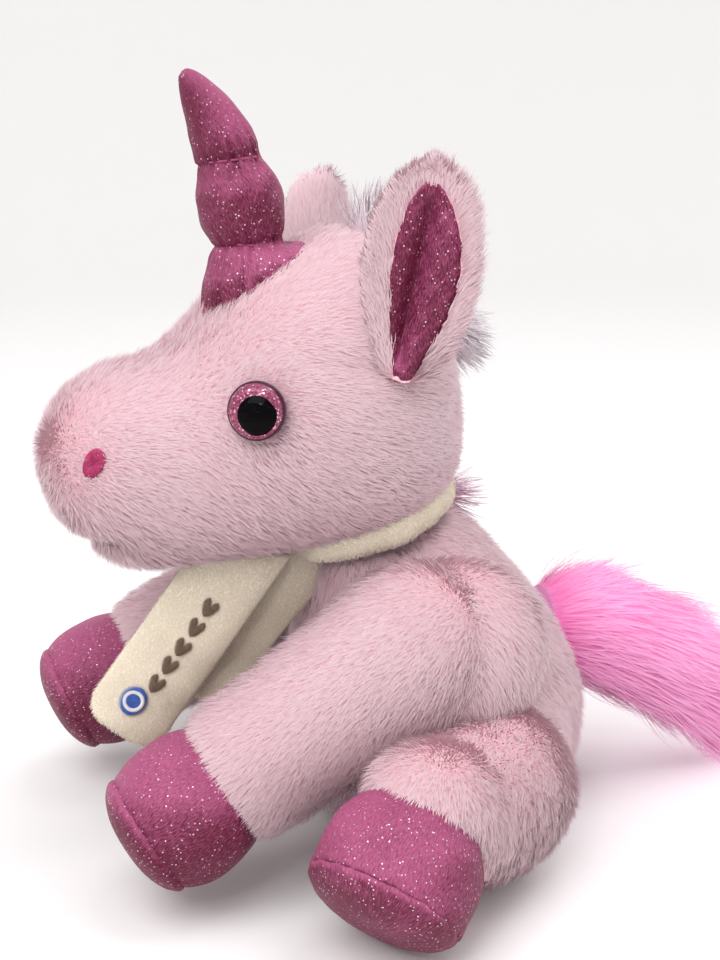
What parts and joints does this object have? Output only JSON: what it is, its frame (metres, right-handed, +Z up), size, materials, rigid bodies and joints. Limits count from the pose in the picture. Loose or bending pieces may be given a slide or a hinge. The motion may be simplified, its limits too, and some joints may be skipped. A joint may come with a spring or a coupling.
{
  "type": "plush unicorn",
  "caption": "Sitting plush unicorn with a gathered horn, lined ears, velvet hooves, a long-pile tail and a scarf; its head, ears, horn, limbs and tail flex.",
  "frame": {"origin": "middle of the torso's flat seat, on the ground", "axes": "it faces -Y, its left side is +X and +Z is up"},
  "size_m": [0.2284, 0.2511, 0.2318],
  "materials": {
    "plush": "short pale pink pile",
    "fill": "polyester fibre",
    "velvet": "deep pink stretch velvet with silver specks",
    "eye": "glossy black pupil in a pink glitter iris",
    "washer": "white moulded washer",
    "stitching": "brown satin-stitch embroidery",
    "nose": "deep pink satin-stitch embroidery",
    "badge": "blue satin-stitch embroidery",
    "scarf": "cream short-pile fleece",
    "pile": "long bright pink pile",
    "tuft": "long whitish lilac pile",
    "pellets": "cloth pouch of plastic pellets"
  },
  "bodies": {
    "torso": {"torso_skin": "plush", "torso_fill": "fill", "seat_bean_bag": "pellets", "scarf_collar": "scarf", "scarf_end_embroidered": "scarf", "scarf_end_plain": "scarf", "scarf_motif_1": "stitching", "scarf_motif_2": "stitching", "scarf_motif_3": "stitching", "scarf_motif_4": "stitching", "scarf_motif_5": "stitching", "scarf_badge": "badge"},
    "neck": {"neck_fill": "fill"},
    "head": {"head_skin": "plush", "head_fill": "fill", "eye_left": "eye", "eye_right": "eye", "eye_washer_left": "washer", "eye_washer_right": "washer", "nostril_left": "nose", "nostril_right": "nose", "forelock": "tuft", "mane_tuft": "tuft"},
    "horn": {"horn_skin": "velvet", "horn_fill": "fill", "horn_thread_upper": "velvet", "horn_thread_lower": "velvet"},
    "ear_left": {"ear_left": "plush", "ear_left_lining": "velvet"},
    "ear_right": {"ear_right": "plush", "ear_right_lining": "velvet"},
    "arm_left": {"arm_left_skin": "plush", "arm_left_fill": "fill", "front_hoof_left": "velvet", "front_hoof_left_sole": "velvet", "front_hoof_left_pouch": "pellets"},
    "arm_right": {"arm_right_skin": "plush", "arm_right_fill": "fill", "front_hoof_right": "velvet", "front_hoof_right_sole": "velvet", "front_hoof_right_pouch": "pellets"},
    "leg_left": {"leg_left_skin": "plush", "leg_left_fill": "fill", "hind_hoof_left": "velvet", "hind_hoof_left_sole": "velvet", "hind_hoof_left_pouch": "pellets"},
    "leg_right": {"leg_right_skin": "plush", "leg_right_fill": "fill", "hind_hoof_right": "velvet", "hind_hoof_right_sole": "velvet", "hind_hoof_right_pouch": "pellets"},
    "tail": {"tail_core": "plush", "tail_pile": "pile"}
  },
  "joints": [
    {"name": "neck_turn", "type": "hinge", "parent": "torso", "child": "neck", "pos_m": [0, -0.02, 0.091], "axis": [0, 0, 1], "range_deg": [-15, 15], "stiffness_Nm_per_rad": 1},
    {"name": "neck_nod", "type": "hinge", "parent": "neck", "child": "head", "pos_m": [0, -0.02, 0.091], "axis": [1, 0, 0], "range_deg": [-10, 0], "stiffness_Nm_per_rad": 1.5},
    {"name": "horn_bend", "type": "hinge", "parent": "head", "child": "horn", "pos_m": [0, -0.0544, 0.17242], "axis": [1, 0, 0], "range_deg": [-8, 8], "stiffness_Nm_per_rad": 0.06},
    {"name": "ear_left_fold", "type": "hinge", "parent": "head", "child": "ear_left", "pos_m": [0.04726, -0.02342, 0.15427], "axis": [0, 1, 0], "range_deg": [-2, 25], "stiffness_Nm_per_rad": 0.04},
    {"name": "ear_right_fold", "type": "hinge", "parent": "head", "child": "ear_right", "pos_m": [-0.04726, -0.02342, 0.15427], "axis": [0, -1, 0], "range_deg": [-2, 25], "stiffness_Nm_per_rad": 0.04},
    {"name": "arm_left_swing", "type": "hinge", "parent": "torso", "child": "arm_left", "pos_m": [0.04541, -0.014, 0.071], "axis": [-1, 0, 0], "range_deg": [-3, 16], "stiffness_Nm_per_rad": 0.3},
    {"name": "arm_right_swing", "type": "hinge", "parent": "torso", "child": "arm_right", "pos_m": [-0.04542, -0.014, 0.071], "axis": [-1, 0, 0], "range_deg": [-3, 16], "stiffness_Nm_per_rad": 0.3},
    {"name": "leg_left_spread", "type": "hinge", "parent": "torso", "child": "leg_left", "pos_m": [0.05329, 0.012, 0.027], "axis": [0, 0, 1], "range_deg": [-4, 18], "stiffness_Nm_per_rad": 0.3},
    {"name": "leg_right_spread", "type": "hinge", "parent": "torso", "child": "leg_right", "pos_m": [-0.05328, 0.012, 0.027], "axis": [0, 0, -1], "range_deg": [-4, 18], "stiffness_Nm_per_rad": 0.3},
    {"name": "tail_lift", "type": "hinge", "parent": "torso", "child": "tail", "pos_m": [0, 0.04322, 0.052], "axis": [1, 0, 0], "range_deg": [-3, 22], "stiffness_Nm_per_rad": 0.15}
  ]
}
